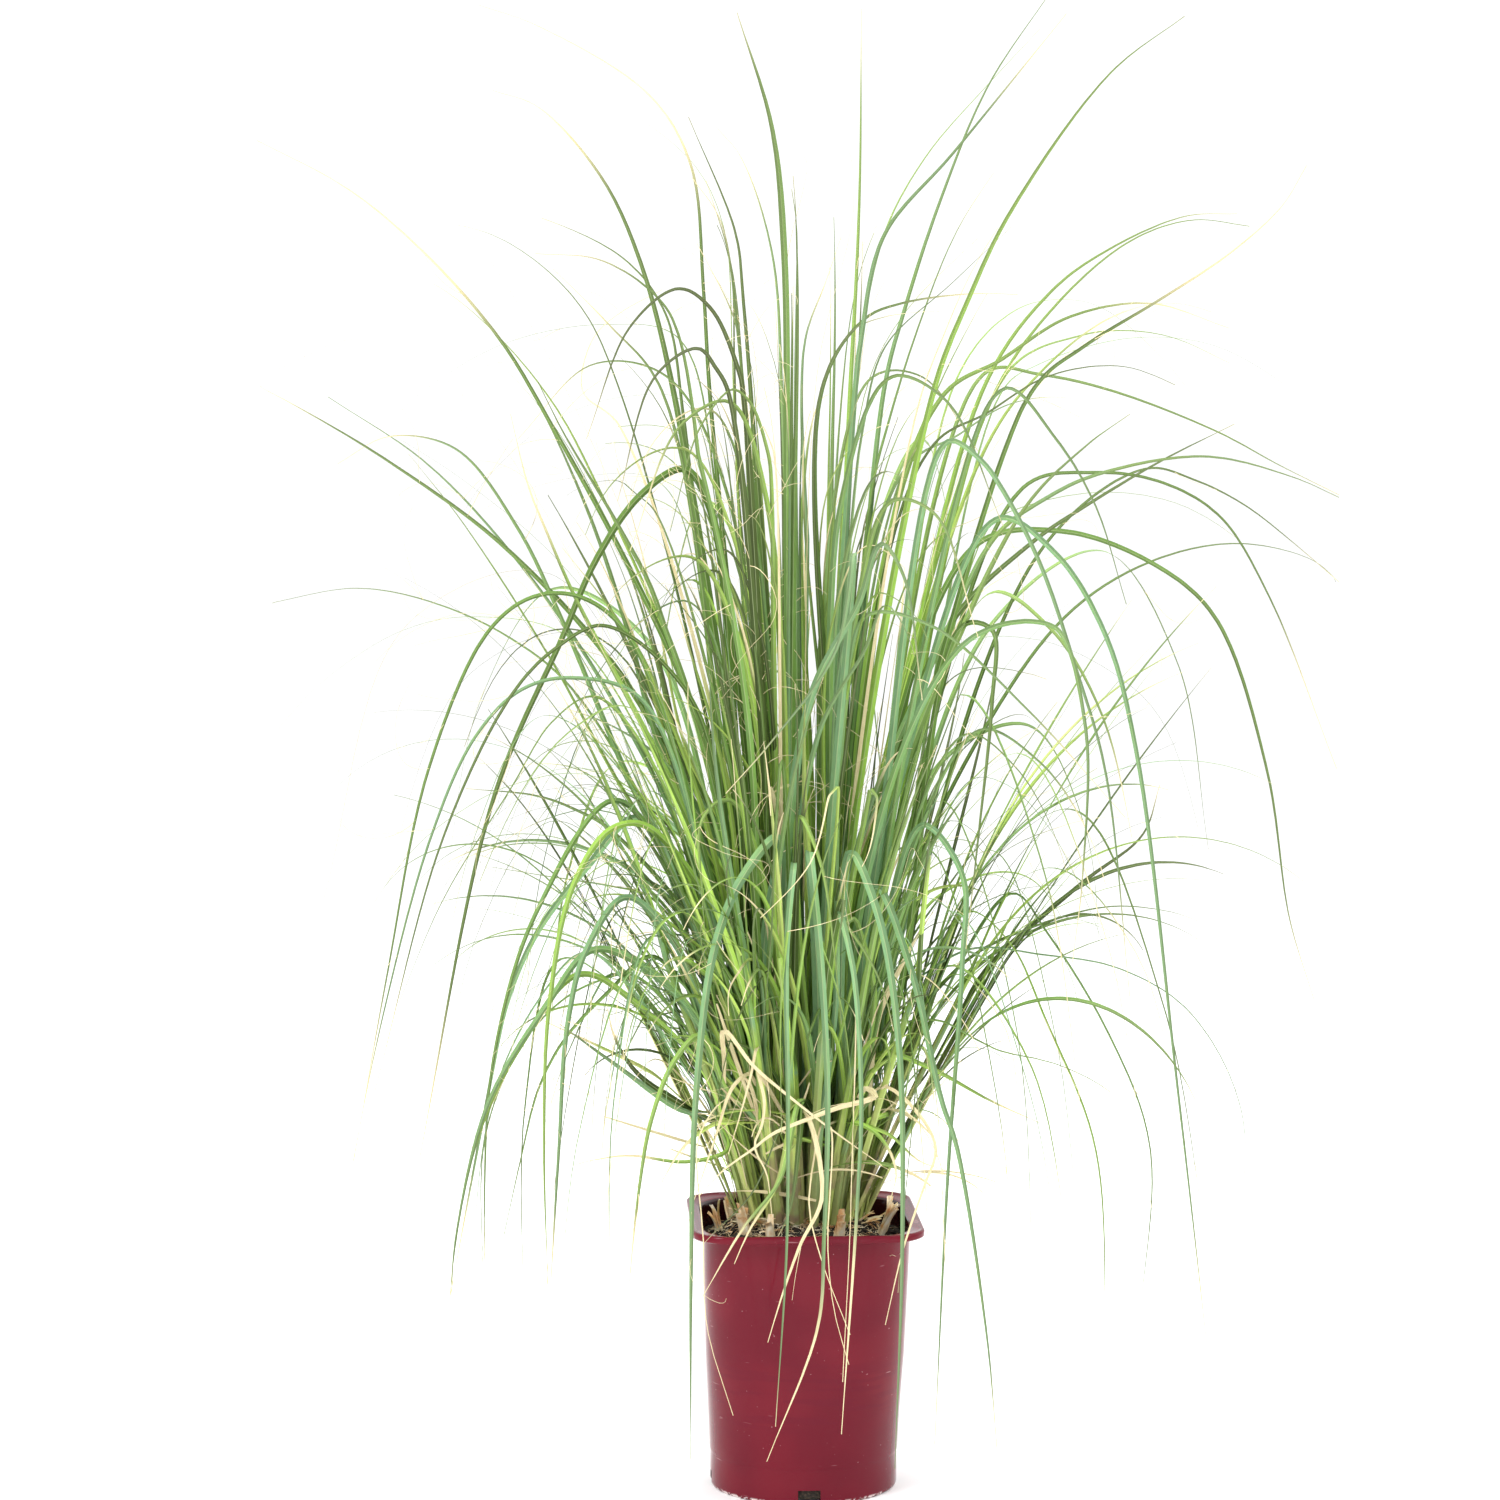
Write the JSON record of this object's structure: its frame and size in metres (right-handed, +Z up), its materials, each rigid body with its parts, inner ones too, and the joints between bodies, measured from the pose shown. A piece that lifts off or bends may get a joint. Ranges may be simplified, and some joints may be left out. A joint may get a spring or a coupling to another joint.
{
  "type": "potted pampas grass",
  "caption": "Clump of tall arching pampas grass standing in compost in a square-rimmed plastic nursery pot with drain slots.",
  "frame": {"origin": "middle of the pot's underside, on the surface that the pot stands on", "axes": "+Z up along the plant, -Y to the front as in the picture, +X to its right"},
  "size_m": [0.9142, 0.7024, 1.2163],
  "materials": {
    "pot_plastic": "gloss",
    "compost": "matte",
    "straw": "matte",
    "grass": "satin"
  },
  "bodies": {
    "root": {"pot": "pot_plastic", "soil": "compost", "stub_left": "straw", "stub_left_front": "straw", "stub_front_left": "straw", "stub_front_right": "straw", "stub_right_front": "straw", "stub_right": "straw", "stub_back": "straw", "stub_back_left": "straw", "shoot_right_outer": "grass", "shoot_right_low": "grass", "shoot_right_far": "grass", "shoot_right_back": "grass", "shoot_back_right": "grass", "shoot_back": "grass", "shoot_back_mid": "grass", "shoot_back_left": "grass", "shoot_left_back": "grass", "shoot_left_far": "grass", "shoot_left_outer": "grass", "shoot_left_low": "grass", "shoot_left_fall": "grass", "shoot_front_left": "grass", "shoot_front_1": "grass", "shoot_front_2": "grass", "shoot_front_3": "grass", "shoot_front_right": "grass", "shoot_mid_right": "grass", "shoot_mid_right_back": "grass", "shoot_mid_back": "grass", "shoot_mid_back_left": "grass", "shoot_mid_left_back": "grass", "shoot_mid_left": "grass", "shoot_mid_left_front": "grass", "shoot_mid_front_left": "grass", "shoot_mid_front": "grass", "shoot_mid_front_right": "grass", "shoot_mid_right_front": "grass", "shoot_centre_right": "grass", "shoot_centre_back": "grass", "shoot_centre_left": "grass", "shoot_centre_front_left": "grass", "shoot_centre_front_right": "grass"}
  },
  "joints": []
}
